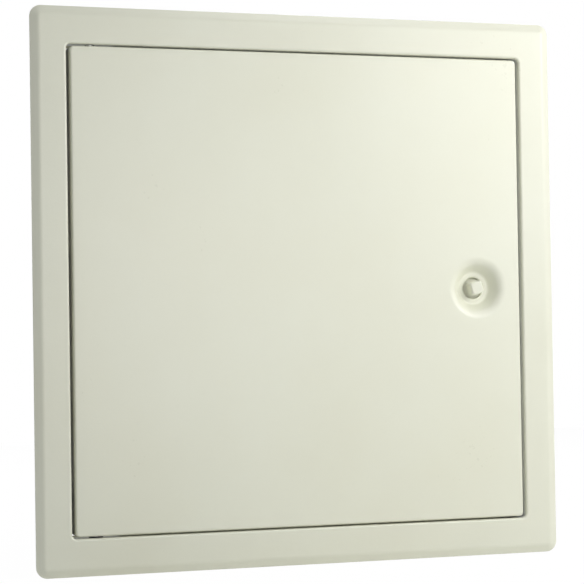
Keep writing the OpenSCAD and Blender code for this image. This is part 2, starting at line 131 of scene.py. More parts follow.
class Finish:
    """The node tree of one material or world, built from nodes that node() adds."""

    def __init__(self, owner):
        self.owner = owner
        self.owner.use_nodes = True
        self.tree = self.owner.node_tree
        self.tree.nodes.clear()

    def node(self, kind, settings=None, inputs=None, out=0):
        """Adds a node of that type, sets its settings, then its sockets, and returns one output."""
        made = self.tree.nodes.new(kind)
        for key, value in (settings or {}).items():
            setattr(made, key, value)
        for key, value in (inputs or {}).items():
            if isinstance(value, Value):
                self.tree.links.new(value.socket, made.inputs[key])
            else:
                made.inputs[key].default_value = value
        return Value(self, made.outputs[out]) if len(made.outputs) else None

    def place(self):
        """Object coordinates in metres."""
        return self.node("ShaderNodeTexCoord", out=3)

    def split(self, where):
        """The x, y and z of a place."""
        return [self.node("ShaderNodeSeparateXYZ", None, {0: where}, out=k) for k in range(3)]

    def noise(self, where, scale, detail=2.0, rough=0.5):
        return self.node("ShaderNodeTexNoise", None,
                         {"Vector": where, "Scale": scale, "Detail": detail, "Roughness": rough})

    def blend(self, factor, a, b):
        """Mixes two colours by a value."""
        return self.node("ShaderNodeMix", {"data_type": "RGBA"}, {0: factor, 6: a, 7: b}, out=2)

    def ramp(self, value, low, high):
        """Zero below low, one above high, a straight line between."""
        return self.node("ShaderNodeMapRange", {"clamp": True},
                         {"Value": value, "From Min": low, "From Max": high})

    def bump(self, height, distance, strength=1.0, normal=None):
        inputs = {"Height": height, "Distance": distance, "Strength": strength}
        if normal is not None:
            inputs["Normal"] = normal
        return self.node("ShaderNodeBump", None, inputs)

    def looked_at(self):
        """One for rays of the camera, of reflections and of glass, zero for rays that carry light."""
        rays = [self.node("ShaderNodeLightPath", out=name)
                for name in ("Is Camera Ray", "Is Glossy Ray", "Is Transmission Ray")]
        return rays[0].math("MAXIMUM", rays[0].math("MAXIMUM", rays[0], rays[1]), rays[2])

    def finish(self, **sockets):
        """Ends in a Principled shader with those sockets."""
        names = {key.replace("_", " "): value for key, value in sockets.items()}
        shader = self.node("ShaderNodeBsdfPrincipled", None, names)
        self.node("ShaderNodeOutputMaterial", None, {"Surface": shader})
        return self.owner


def material(name):
    return Finish(bpy.data.materials.new(name))


def rgb(r, g, b):
    return (r, g, b, 1.0)


def powder_coat(name, shade=1.0, gloss=0.30, wall=None, spots=None):
    """Off-white powder coat: fine orange peel, slow waviness of the sheet, faint cloudiness.
    With wall, (from, to, colour, sides), the coat turns to that colour between those depths on the walls
    of the gap, on the sides left_low or right_top and round their corners: a painted tone that stands in for
    light and shade in the gap, dark for painted shade and pale for painted light. With spots, (distance from
    the centre, pitch), spot weld dimples show through the coat along the feet of the rails."""
    f = material(name)
    at = f.place()
    cloud = f.noise(at, 11.0, 3.0)
    speck = f.noise(at, 420.0, 2.0)
    warm = f.blend(f.ramp(cloud, 0.35, 0.65), rgb(0.770 * shade, 0.768 * shade, 0.628 * shade),
                   rgb(0.785 * shade, 0.788 * shade, 0.655 * shade))
    base = f.blend(f.ramp(speck, 0.62, 0.78) * 0.10, warm, rgb(0.70 * shade, 0.70 * shade, 0.57 * shade))
    # Painted light and shade on the walls of the gap: a mask of depth, side and corners blends the coat to the
    # given tone
    if wall:
        shallow, full, tone, sides = wall
        x, y, z = f.split(at)
        sign = 1.0 if sides == "right_top" else -1.0
        facing = x.math("MAXIMUM", x * sign, z * sign)
        inset = (HX - DOOR_CORNER) * MM
        past = [x.math("MAXIMUM", x.math("ABSOLUTE", v) - inset, 0.0) for v in (x, z)]
        reach = (past[0] * past[0] + past[1] * past[1]) ** 0.5
        near = (f.ramp(reach, 1.7 * MM, 2.0 * MM) * f.ramp(reach, 7.4 * MM, 6.4 * MM)
                * f.ramp(facing, (HX - 2.6) * MM, (HX - 2.3) * MM))
        deep = f.ramp(y, (FACE + shallow) * MM, (FACE + full) * MM)
        base = f.blend(near * deep, base, tone)
    rough = gloss + (cloud - 0.5) * 0.10 + (speck - 0.5) * 0.06
    peel = f.noise(at, 750.0, 2.0, 0.45)
    wave = f.noise(at, 9.0, 1.0)
    normal = f.bump(peel, 0.00006, 0.35, f.bump(wave, 0.0006, 0.5))
    if spots:
        distance, pitch = spots
        x, _, z = f.split(at)
        x, z = x.math("ABSOLUTE", x), z.math("ABSOLUTE", z)
        along = x.math("PINGPONG", x.math("MINIMUM", x, z), pitch * MM / 2)
        across = x.math("MAXIMUM", x, z) - distance * MM
        away = (along * along + across * across) ** 0.5
        ring = f.ramp(away, 3.1 * MM, 2.5 * MM) - f.ramp(away, 1.9 * MM, 1.2 * MM) * 0.45
        base = f.blend(ring * 0.22, base, rgb(0.46, 0.46, 0.43))
        normal = f.bump(1.0 - ring, 0.0004, 0.8, normal)
    return f.finish(Base_Color=base, Roughness=rough, Normal=normal)


def plated_zinc(name, tone=1.0, gloss=0.30):
    """Bright zinc plate: cool grey metal with cloudy gloss and a fine drawn grain."""
    f = material(name)
    at = f.place()
    cloud = f.noise(at, 60.0, 4.0)
    grain = f.noise(at, 900.0, 2.0)
    base = f.blend(f.ramp(cloud, 0.3, 0.7), rgb(0.56 * tone, 0.58 * tone, 0.60 * tone),
                   rgb(0.70 * tone, 0.71 * tone, 0.70 * tone))
    rough = gloss + (cloud - 0.5) * 0.16 + (grain - 0.5) * 0.10
    return f.finish(Base_Color=base, Metallic=1.0, Roughness=rough, Normal=f.bump(grain, 0.00004, 0.4))


def spangled_zinc(name):
    """Hot-dip zinc: crystal fields of differing grey and gloss."""
    f = material(name)
    at = f.place()
    field = f.node("ShaderNodeTexVoronoi", {"feature": "F1"}, {"Vector": at, "Scale": 210.0}, out=1)
    tone = f.node("ShaderNodeSeparateColor", None, {"Color": field})
    cloud = f.noise(at, 40.0, 3.0)
    base = f.blend(tone, rgb(0.46, 0.48, 0.50), rgb(0.66, 0.68, 0.69))
    rough = 0.34 + tone * 0.16 + (cloud - 0.5) * 0.12
    return f.finish(Base_Color=base, Metallic=1.0, Roughness=rough,
                    Normal=f.bump(cloud, 0.0001, 0.3))


def turned_steel(name):
    """Turned steel with fine tool rings along its length."""
    f = material(name)
    at = f.place()
    rings = f.node("ShaderNodeTexWave", {"wave_type": "BANDS", "bands_direction": "Z"},
                   {"Vector": at, "Scale": 900.0, "Distortion": 1.5})
    cloud = f.noise(at, 90.0, 3.0)
    base = f.blend(f.ramp(cloud, 0.3, 0.7), rgb(0.55, 0.55, 0.55), rgb(0.68, 0.68, 0.67))
    return f.finish(Base_Color=base, Metallic=1.0, Roughness=0.26 + (cloud - 0.5) * 0.15,
                    Normal=f.bump(rings, 0.00003, 0.3))


def drawn_wire(name):
    """Dark drawn spring wire."""
    f = material(name)
    at = f.place()
    cloud = f.noise(at, 300.0, 3.0)
    base = f.blend(cloud, rgb(0.20, 0.20, 0.21), rgb(0.34, 0.34, 0.35))
    return f.finish(Base_Color=base, Metallic=1.0, Roughness=0.32 + (cloud - 0.5) * 0.2)


def black_nylon(name):
    """Moulded black nylon with a dull, slightly grained skin."""
    f = material(name)
    at = f.place()
    grain = f.noise(at, 1200.0, 2.0)
    base = f.blend(grain, rgb(0.018, 0.018, 0.019), rgb(0.035, 0.035, 0.036))
    return f.finish(Base_Color=base, Roughness=0.55 + (grain - 0.5) * 0.2, Normal=f.bump(grain, 0.00005, 0.4))


def pale_foam(name):
    """Pale closed-cell foam: small pits all over."""
    f = material(name)
    at = f.place()
    cells = f.node("ShaderNodeTexVoronoi", {"feature": "F1"}, {"Vector": at, "Scale": 1500.0})
    cloud = f.noise(at, 200.0, 3.0)
    base = f.blend(cloud, rgb(0.66, 0.65, 0.58), rgb(0.76, 0.75, 0.68))
    return f.finish(Base_Color=base, Roughness=0.9 + (cloud - 0.5) * 0.1, Normal=f.bump(cells, 0.0002, 0.5))


FINISHES = {
    # Frame coat: the pale tone on the right and upper walls of the neck is painted light, standing in for the
    # light those walls catch in the gap
    "frame_coat": powder_coat("frame_powder_coat_with_painted_light", 0.97, wall=(0.8, 3.0, rgb(0.84, 0.85, 0.84), "right_top")),
    # Door coat: the dark blue-grey tone on its left and lower edge walls, deep in the gap, is painted shade
    "door_coat": powder_coat("door_powder_coat_with_painted_shade", wall=(2.6, 6.0, rgb(0.20, 0.20, 0.23), "left_low")),
    "rail_coat": powder_coat("rail_powder_coat", 0.97, 0.36, spots=(HX + 9.3, 50.0)),
    "lock_coat": powder_coat("lock_powder_coat", 0.98, 0.34),
    "nylon": black_nylon("bush_nylon"),
    "foam": pale_foam("pad_foam"),
    "strap_zinc": spangled_zinc("strap_hot_dip_zinc"),
    "bracket_zinc": plated_zinc("bracket_zinc_plate", 1.0, 0.32),
    "lock_zinc": plated_zinc("lock_zinc_plate", 1.05, 0.26),
    "cam_zinc": plated_zinc("cam_zinc_plate", 0.95, 0.34),
    "screw_zinc": plated_zinc("screw_zinc_plate", 1.0, 0.24),
    "rivet_steel": plated_zinc("rivet_plain_steel", 0.9, 0.36),
    "pin_steel": turned_steel("pin_turned_steel"),
    "spring_steel": drawn_wire("spring_drawn_wire"),
}
for entry in frame["record"]["subparts"]:
    mesh = nodes[entry["node"]].data
    mesh.materials.clear()
    mesh.materials.append(FINISHES[entry["material_slot"]])


def rounded(corners, steps=6, hold=0.3, closed=True):
    """Polyline through (a, b, radius) corners. Each corner is an arc about
    centre = corner + bisector * radius / sin(h), h half the angle between its sides,
    with one more point on each straight, hold radii away, so that flats stay flat."""
    c = np.array(corners, float)
    p, r = c[:, :2], c[:, 2]
    back = np.roll(p, 1, 0) - p
    ahead = np.roll(p, -1, 0) - p
    if not closed:
        back[0], ahead[-1] = -ahead[0], -back[-1]
    back /= np.linalg.norm(back, axis=1)[:, None]
    ahead /= np.linalg.norm(ahead, axis=1)[:, None]
    half = np.arccos(np.clip((back * ahead).sum(1), -1, 1)) / 2
    cut = r / np.tan(half)
    middle = back + ahead
    size = np.linalg.norm(middle, axis=1)
    middle = middle / np.where(size < 1e-9, 1, size)[:, None]
    centre = p + middle * (r / np.sin(half))[:, None]
    start = p + back * cut[:, None] - centre
    end = p + ahead * cut[:, None] - centre
    turn = np.arctan2(start[:, 0] * end[:, 1] - start[:, 1] * end[:, 0], (start * end).sum(1))
    w = turn[:, None] * np.linspace(0, 1, steps)
    arc = np.stack([start[:, :1] * np.cos(w) - start[:, 1:] * np.sin(w),
                    start[:, :1] * np.sin(w) + start[:, 1:] * np.cos(w)], axis=2) + centre[:, None]
    before = p + back * (cut + hold * r)[:, None]
    after = p + ahead * (cut + hold * r)[:, None]
    line = np.concatenate([before[:, None], arc, after[:, None]], axis=1).reshape(-1, 2)
    keep = np.linalg.norm(line - np.roll(line, 1, 0), axis=1) > 1e-7
    keep[0] = True
    return line[keep]


def outward(line):
    """Unit normals of a closed plane line that runs anticlockwise."""
    along = np.roll(line, -1, 0) - np.roll(line, 1, 0)
    along /= np.linalg.norm(along, axis=1)[:, None]
    return np.stack([along[:, 1], -along[:, 0]], axis=1)


def rect_loop(hx, hz, r, eye, per_side, per_corner):
    """Round-cornered rectangle and its outward normals: corners
    (hx - r, hz - r) + r (cos t, sin t), sides cut by evenly turned rays from eye."""
    corner = np.array([[1, 1], [-1, 1], [-1, -1], [1, -1]]) * [hx - r, hz - r]
    t = np.radians([0, 90, 180, 270])[:, None] + np.linspace(0, np.pi / 2, per_corner)
    facing = np.stack([np.cos(t), np.sin(t)], axis=2)
    arc = corner[:, None] + r * facing
    a, b = arc[:, -1], np.roll(arc[:, 0], -1, 0)
    fa = np.arctan2(a[:, 1] - eye[1], a[:, 0] - eye[0])
    fb = np.arctan2(b[:, 1] - eye[1], b[:, 0] - eye[0])
    f = fa[:, None] + ((fb - fa) % (2 * np.pi))[:, None] * np.arange(1, per_side) / per_side
    ray = np.stack([np.cos(f), np.sin(f)], axis=2)
    side = b - a
    off = np.array(eye) - a
    m = (off[:, None, 0] * ray[..., 1] - off[:, None, 1] * ray[..., 0]) / (
        side[:, None, 0] * ray[..., 1] - side[:, None, 1] * ray[..., 0])
    straight = a[:, None] + m[..., None] * side[:, None]
    level = np.repeat(facing[:, -1:], per_side - 1, axis=1)
    line = np.concatenate([arc, straight], axis=1).reshape(-1, 2)
    return line, np.concatenate([facing, level], axis=1).reshape(-1, 2)


def grid_faces(rows, cols, shut_rows):
    """Quads of a rows x cols grid, closed across the columns and, if asked, across the rows."""
    i = np.arange(rows if shut_rows else rows - 1)[:, None]
    j = np.arange(cols)[None]
    n, k = (i + 1) % rows, (j + 1) % cols
    return np.stack([i * cols + j, i * cols + k, n * cols + k, n * cols + j], axis=2).reshape(-1, 4)


def add_piece(name, grids, slot, body, *stands_for):
    """Joins grids of points in millimetres, (array, rows closed), into one smooth mesh that rides on a body
    and stands for CAD nodes."""
    points, faces, count = [], [], 0
    for grid, shut in grids:
        rows, cols = grid.shape[:2]
        points.append(grid.reshape(-1, 3) * MM)
        faces.append(grid_faces(rows, cols, shut) + count)
        count += rows * cols
    mesh = bpy.data.meshes.new(name)
    mesh.from_pydata(np.concatenate(points).tolist(), [], np.concatenate(faces).tolist())
    work = bmesh.new()
    work.from_mesh(mesh)
    bmesh.ops.remove_doubles(work, verts=work.verts, dist=2e-7)
    bmesh.ops.recalc_face_normals(work, faces=work.faces)
    work.to_mesh(mesh)
    work.free()
    mesh.polygons.foreach_set("use_smooth", np.ones(len(mesh.polygons), bool))
    mesh.materials.append(FINISHES[slot])
    piece = bpy.data.objects.new(name, mesh)
    bpy.context.scene.collection.objects.link(piece)
    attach(piece, body)
    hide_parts(*stands_for)
    return piece


def turned(profile, sides, axis, at):
    """(r, h) turned about axis x, y or z through the point at: r cos t and r sin t across, h along."""
    t = np.arange(sides) * 2 * np.pi / sides
    r, h = np.asarray(profile, float).T
    across, over = r[:, None] * np.cos(t), r[:, None] * np.sin(t)
    along = np.repeat(h[:, None], sides, axis=1)
    parts = {"x": (along, across, over), "y": (across, along, over), "z": (across, over, along)}[axis]
    return np.stack(parts, axis=2) + np.array(at, float)


def hexed(rows, flats, turn, sides, at):
    """Hexagon prism along y with its corners cut by cones: r = min(limit, flats / 2 / cos(t to the flat))."""
    t = np.arange(sides) * 2 * np.pi / sides
    six = flats / 2 / np.cos((t - turn) % (np.pi / 3) - np.pi / 6)
    limit, depth = np.asarray(rows, float).T
    r = np.minimum(limit[:, None], six)
    along = np.repeat(depth[:, None], sides, 1)
    return np.stack([r * np.cos(t), along, r * np.sin(t)], axis=2) + np.array(at, float)


def piped(path, radii, sides):
    """Round section carried along a path in space: p + r (n cos t + b sin t), n and b square to the path."""
    along = np.gradient(path, axis=0)
    along /= np.linalg.norm(along, axis=1)[:, None]
    level = np.array([0.0, 1.0, 0.0])
    n = np.cross(along, level)
    n /= np.linalg.norm(n, axis=1)[:, None]
    b = np.cross(along, n)
    t = np.arange(sides) * 2 * np.pi / sides
    ring = n[:, None] * np.cos(t)[:, None] + b[:, None] * np.sin(t)[:, None]
    return path[:, None] + np.asarray(radii)[:, None, None] * ring


def table_rows(*blocks):
    """Stacks blocks of columns, each a number or a list, into one table."""
    tables = []
    for block in blocks:
        columns = [np.atleast_1d(np.asarray(column, float)) for column in block]
        tables.append(np.stack(np.broadcast_arrays(*columns), axis=1))
    return np.concatenate(tables)


def make_door():
    """Door tray in one closed sheet. Across it runs a section (rho, s, out, y) from the lock hole over dish,
    face, folded edge and back again; round it run rays from the lock axis c:
    p = c + (1 - s) rho d + s (q - c) + out n, q and n the line of the folded edge and its normal."""
    edge, inner = 1.3, 1.3 - SHEET  # outer and inner radius of the folded edge
    lean = math.asin(0.8)  # slope of the cone of the dish
    flat, hole = 9.7, 9.1  # radius of the floor of the dish and of the hole for the lock
    rim = flat + 10.78
    a = np.linspace(0, lean, 16)
    b = np.linspace(0, np.pi / 2, 9)
    c = np.linspace(0, np.pi, 9)
    k = np.array([0.04, 0.3, 0.7, 0.96])
    ease = np.array([0.004, 0.02, 0.25, 0.5, 0.75, 0.97, 0.993])

    def dimple(round_over, foot, wall, bottom):
        """Floor, foot, cone and rounded rim of the pressed dish, from the hole outwards."""
        return np.concatenate([
            table_rows(([hole, hole + 0.3, flat - 0.05], bottom)),
            table_rows((flat + foot * np.sin(a), bottom - foot + foot * np.cos(a))),
            table_rows((flat + foot * 0.8 + wall * 0.6 * k, bottom - foot * 0.4 - wall * 0.8 * k)),
            table_rows((rim - round_over * np.sin(a[::-1]),
                        bottom - foot * 0.4 - wall * 0.8 - round_over * (np.cos(a[::-1]) - 0.6)))])

    front = dimple(round_over=7.4, foot=2.125, wall=5.26, bottom=DISH_FLOOR - 0.62)
    back = dimple(round_over=5.5, foot=3.1, wall=6.5, bottom=DISH_FLOOR + SHEET)[::-1]
    section = table_rows(
        (front[:, 0], 0, 0, front[:, 1]),
        (rim, ease, 0, FACE),
        (rim, 1, edge * np.sin(b), FACE + edge - edge * np.cos(b)),
        (rim, 1, edge, [FACE + edge + 0.4, 2, REAR - 0.9]),
        (rim, 1, edge - 0.5 + 0.5 * np.cos(c), REAR - 0.5 + 0.5 * np.sin(c)),
        (rim, 1, inner, [REAR - 0.9, 2, FACE + edge + 0.3]),
        (rim, 1, inner * np.sin(b[::-1]), FACE + edge - inner * np.cos(b[::-1])),
        (rim, ease[::-1], 0, FACE + SHEET),
        (back[:, 0], 0, 0, back[:, 1]),
    )
    axis = np.array([LOCK_X, LOCK_Z])
    line, normal = rect_loop(HX - edge, HZ - edge, DOOR_CORNER - edge, axis, 64, 7)
    ray = line - axis
    ray /= np.linalg.norm(ray, axis=1)[:, None]
    rho, s, out, y = section.T[:, :, None, None]
    flat_points = axis + (1 - s) * rho * ray + s * (line - axis) + out * normal
    depth = np.broadcast_to(y, flat_points.shape[:2] + (1,))
    grid = np.concatenate([flat_points[..., :1], depth, flat_points[..., 1:]], axis=2)
    add_piece("door_sheet", [(grid, True)], "door_coat", "door", "door_leaf")


def make_surround():
    """Pressed surround in one closed sheet. Its section (s, out, y) runs over flange, bevel and rim, back
    inside and round the drawn neck; p = (1 - s) (q + out n) + s (o + out m), q, n the line and normal
    of the opening and o, m those of the outer edge."""
    fold, bevel = 7.0, 6.4  # radius of the fold and width of the bevel with it
    sine, cosine = 0.352, 0.936  # of the angle of the bevel
    slope = sine / cosine
    crease = bevel - fold * sine / (1 + cosine)
    lip = FACE + crease * slope
    under = lip + SHEET / cosine
    outer = rounded([(-6.95, FACE, 0), (-crease, FACE, fold), (0, lip, 0.3), (0, 0, 0.25), (-1, 0, 0.2),
                     (-1, under - slope, 0.15), ((FACE + SHEET - under) / slope, FACE + SHEET, fold - SHEET),
                     (-6.95, FACE + SHEET, 0)], 9, 0.05, False)
    end = FACE + 11.5
    neck = rounded([(3.2, FACE + SHEET, 0), (1, FACE + SHEET, 0.6), (1, end, 0.4), (0, end, 0.4),
                    (0, FACE, 1.6), (3.2, FACE, 0)], 9, 0.2, False)
    section = np.concatenate([np.insert(outer, 0, 1, axis=1), np.insert(neck, 0, 0, axis=1)])
    far, far_normal = rect_loop(OUT_X, OUT_Z, 7.0, (0, 0), 40, 11)
    near, near_normal = rect_loop(OPEN_X, OPEN_Z, 3.0, (0, 0), 40, 11)
    s, out, y = section.T[:, :, None, None]
    flat_points = (1 - s) * (near + out * near_normal) + s * (far + out * far_normal)
    depth = np.broadcast_to(y, flat_points.shape[:2] + (1,))
    grid = np.concatenate([flat_points[..., :1], depth, flat_points[..., 1:]], axis=2)
    add_piece("surround_sheet", [(grid, True)], "frame_coat", "frame", "face_frame")


def make_lock():
    """Turned collar and threaded barrel, square drive, chamfered nut, washer and screw."""
    at = (LOCK_X, 0, LOCK_Z)
    front, end = extent("lock_bush")[0][1], extent("lock_bush")[1][1]
    bore_end = end - 2.8
    lip, soft = 6.95, 0.8  # radius of the mouth of the collar and of its rounded edge
    a = np.linspace(0, np.pi / 2, 8)
    w = np.linspace(0, 1, 8)
    ring = table_rows((lip + soft - soft * np.cos(a), front + soft - soft * np.sin(a)),
                      (8.6 + 0.9 * w, front + 0.09 * w ** 2), ([9.45, BARREL_RADIUS], front + 0.4))
    pitch, thread = 1.5, 0.35
    turn = np.linspace(DISH_FLOOR + 1.2, end - 0.6, 45)
    wave = 0.5 - 0.5 * np.cos(2 * np.pi * turn / pitch)
    barrel = np.stack([BARREL_RADIUS - thread * wave, turn], axis=1)
    inside = rounded([(8.9, end, 0.2), (5.05, end, 0.2), (5.05, bore_end, 0.1), (BORE_RADIUS, bore_end, 0.1),
                      (BORE_RADIUS, front + soft + 0.3, 0)], 4, 0.2, False)
    add_piece("lock_collar", [(turned(np.concatenate([ring, barrel, inside]), 96, "y", at), True)],
              "lock_coat", "door", "lock_bush")
    make_drive(at, bore_end)
    rows = np.array([(9.05, 0), (12.1, 0), (12.6, 0.3), (13.2, 0.65), (14.2, 1.2), (14.2, 2.3), (13.2, 2.85),
                     (12.6, 3.2), (12.1, 3.5), (9.3, 3.5), (9.05, 3.25)]) + [0, DISH_FLOOR + SHEET]
    add_piece("bush_nut", [(hexed(rows, 24.0, np.radians(30), 144, at), True)],
              "lock_zinc", "door", "lock_nut")
    low, high = extent("cam_washer")
    ring = rounded([(3.05, low[1], 0.15), (8.0, low[1], 0.2), (8.0, high[1], 0.3), (3.05, high[1], 0.2)], 5)
    add_piece("washer_ring", [(turned(ring, 64, "y", at), True)], "lock_zinc", "lock", "cam_washer")
    low, high = extent("cam_screw")
    seat, top = high[1] - 4.0, high[1]
    rows = [(0, low[1]), (2.6, low[1]), (3.0, low[1] + 0.5), (3.0, seat), (4.9, seat), (5.2, seat + 0.2),
            (5.8, seat + 0.5), (5.8, top - 0.7), (5.3, top - 0.35), (4.75, top - 0.02), (4.4, top), (2.6, top),
            (2.2, top - 0.25), (0, top - 0.3)]
    add_piece("cam_bolt", [(hexed(rows, 10.0, 0.0, 96, at), False)], "screw_zinc", "lock", "cam_screw")


def make_drive(at, bore_end):
    """Square drive on a round base, journal and square shank: p = at + r (cos t, sin t), where
    r = half / cos f on the flats, f the angle to the nearest flat, and the far side of a corner circle
    between them; the base and the journal are plain circles."""
    half, soft, chamfer = 4.3, 1.9, 0.9  # half the width, corner radius and front chamfer of the drive
    twist = math.radians(15)
    low, high = extent("lock_spindle")
    front, shank_end = low[1], high[1]
    base_back = bore_end - 0.3
    base = base_back - 3.3
    seat = extent("lock_cam")[0][1] - 1.0
    t = np.arange(160) * 2 * np.pi / 160
    f = np.abs((t - twist + np.pi / 4) % (np.pi / 2) - np.pi / 4)
    c = half - soft
    inside = np.clip(soft ** 2 - c ** 2 * (np.cos(f) - np.sin(f)) ** 2, 0, None)
    square = np.where(half * np.tan(f) < c, half / np.cos(f), c * (np.cos(f) + np.sin(f)) + np.sqrt(inside))
    g = np.abs((t + np.pi / 4) % (np.pi / 2) - np.pi / 4)
    shank = np.minimum(3.5 / np.cos(g), 4.8)
    edge = rounded([(0, front, 0), (half - chamfer, front, 0.35), (half, front + chamfer, 0.35),
                    (half, base, 0)], 6, 0.2, False)
    rows = table_rows((edge[:, 0] / half, 0, 0, edge[:, 1]),
                      (0, [7.33, 7.33, 7.33, 7.1], 0, [base, base + 0.2, base_back - 0.2, base_back]),
                      (0, [5.0, 5.0, 4.8], 0, [base_back, seat - 0.2, seat]),
                      (0, 0, [1, 1, 0], [seat, shank_end, shank_end]))
    drive, circle, tail, y = rows.T[:, :, None]
    r = drive * square + circle + tail * shank
    grid = np.stack([r * np.cos(t), np.broadcast_to(y, r.shape), r * np.sin(t)], axis=2)
    add_piece("square_drive", [(grid + np.array(at, float), False)], "lock_coat", "lock", "lock_spindle")


def make_pivots():
    """Bushes and lower pin turned about the pivot line, and the bent spring bolt as a pipe."""
    at = (PIVOT_X, PIVOT_Y, 0)
    flange, hole = 0.4, PIN_RADIUS + 0.05
    for name, node, lead in (("upper_bush", "upper_pivot_bush", 0.15),
                             ("lower_bush", "lower_pivot_bush", 0.25)):
        low, high = extent(node)
        line = [(hole, low[2], 0.15), (3.2, low[2], lead), (3.2, high[2] - flange, 0.05),
                (4.5, high[2] - flange, 0.1), (4.5, high[2], 0.15), (hole, high[2], 0.15)]
        add_piece(name, [(turned(rounded(line, 5), 48, "z", at), True)], "nylon", "frame", node)
    low, high = extent("lower_pivot_pin")
    tip, top = low[2], high[2]
    shoulder = -OPEN_Z + flange + 0.3
    line = rounded([(0, top, 0), (3.5, top, 0.5), (3.5, top - 2, 0.15), (PIN_RADIUS, top - 2, 0.1),
                    (PIN_RADIUS, shoulder + 0.2, 0.03), (3, shoulder + 0.2, 0.06), (3, shoulder, 0.06),
                    (PIN_RADIUS, shoulder, 0.03), (PIN_RADIUS, tip + 0.6, 0.2), (1.4, tip, 0.2), (0, tip, 0)],
                   5, 0.3, False)
    add_piece("lower_pin", [(turned(line, 48, "z", at), False)], "pin_steel", "door", "lower_pivot_pin")
    low, high = extent("hinge_bolt")
    top, reach, finger = high[2], high[0], low[2] + 2.0
    bend = 5.0
    clip_low, clip_high = extent("bolt_clip")[0][2], extent("bolt_clip")[1][2]
    w = np.linspace(np.pi, 1.5 * np.pi, 15)
    up = np.array([top, top, top - 0.25, top - 0.6, top - 1.0, clip_high + 0.06, clip_high + 0.05,
                   clip_low - 0.05, clip_low - 0.06, finger + bend + 0.5])
    thick = np.array([0, 1.25, 1.5, 1.9, 2.0, 2.0, 1.5, 1.5, 2.0, 2.0])
    out = np.array([PIVOT_X + bend + 0.5, reach - 0.6, reach - 0.25, reach - 0.05, reach, reach])
    slim = np.array([2.0, 2.0, 1.9, 1.6, 1.3, 0])
    path = table_rows((PIVOT_X, PIVOT_Y, up),
                      (PIVOT_X + bend + bend * np.cos(w), PIVOT_Y, finger + bend + bend * np.sin(w)),
                      (out, PIVOT_Y, finger))
    radii = np.concatenate([thick, np.full(len(w), PIN_RADIUS), slim])
    # The two end points of radius 0 stand a hair apart from their neighbours, so that the path has a direction
    path[0, 2] += 1e-4
    path[-1, 0] += 1e-4
    add_piece("spring_bolt", [(piped(path, radii, 40), False)], "pin_steel", "bolt", "hinge_bolt")


def make_spring():
    """Compression spring with closed ends: the centre line turns at radius 2.85 while its height rises by
    one wire on the first and last turn and evenly between, and a round section follows it."""
    low, high = extent("bolt_spring")
    wire, radius, turns = 0.35, 2.85, 10
    bottom, top = low[2] + wire, high[2] - wire
    k = np.linspace(0, turns, turns * 36 + 1)
    rise = np.interp(k, [0, 1, turns - 1, turns], [0, 2 * wire, top - bottom - 2 * wire, top - bottom])
    even = np.ones(19) / 19
    rise = np.convolve(np.pad(rise, 9, mode="edge"), even, mode="valid")
    w = 2 * np.pi * k
    path = np.stack([PIVOT_X + radius * np.cos(w), PIVOT_Y + radius * np.sin(w), bottom + rise], axis=1)
    path = np.concatenate([path[:1], path, path[-1:]])
    radii = np.full(len(path), wire)
    radii[[0, -1]] = 0
    away = np.stack([np.cos(w), np.sin(w), 0 * w], axis=1)
    away = np.concatenate([away[:1], away, away[-1:]])
    t = np.arange(14) * 2 * np.pi / 14
    ring = away[:, None] * np.cos(t)[:, None] + np.array([0, 0, 1.0]) * np.sin(t)[:, None]
    grid = path[:, None] + radii[:, None, None] * ring
    piece = add_piece("coil_spring", [(grid, False)], "spring_steel", "door", "bolt_spring")
    span = top - bottom + 2 * wire
    PIVOT_X * MM
    PIVOT_Y * MM
    (span - 8.0) / span
    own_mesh(piece)


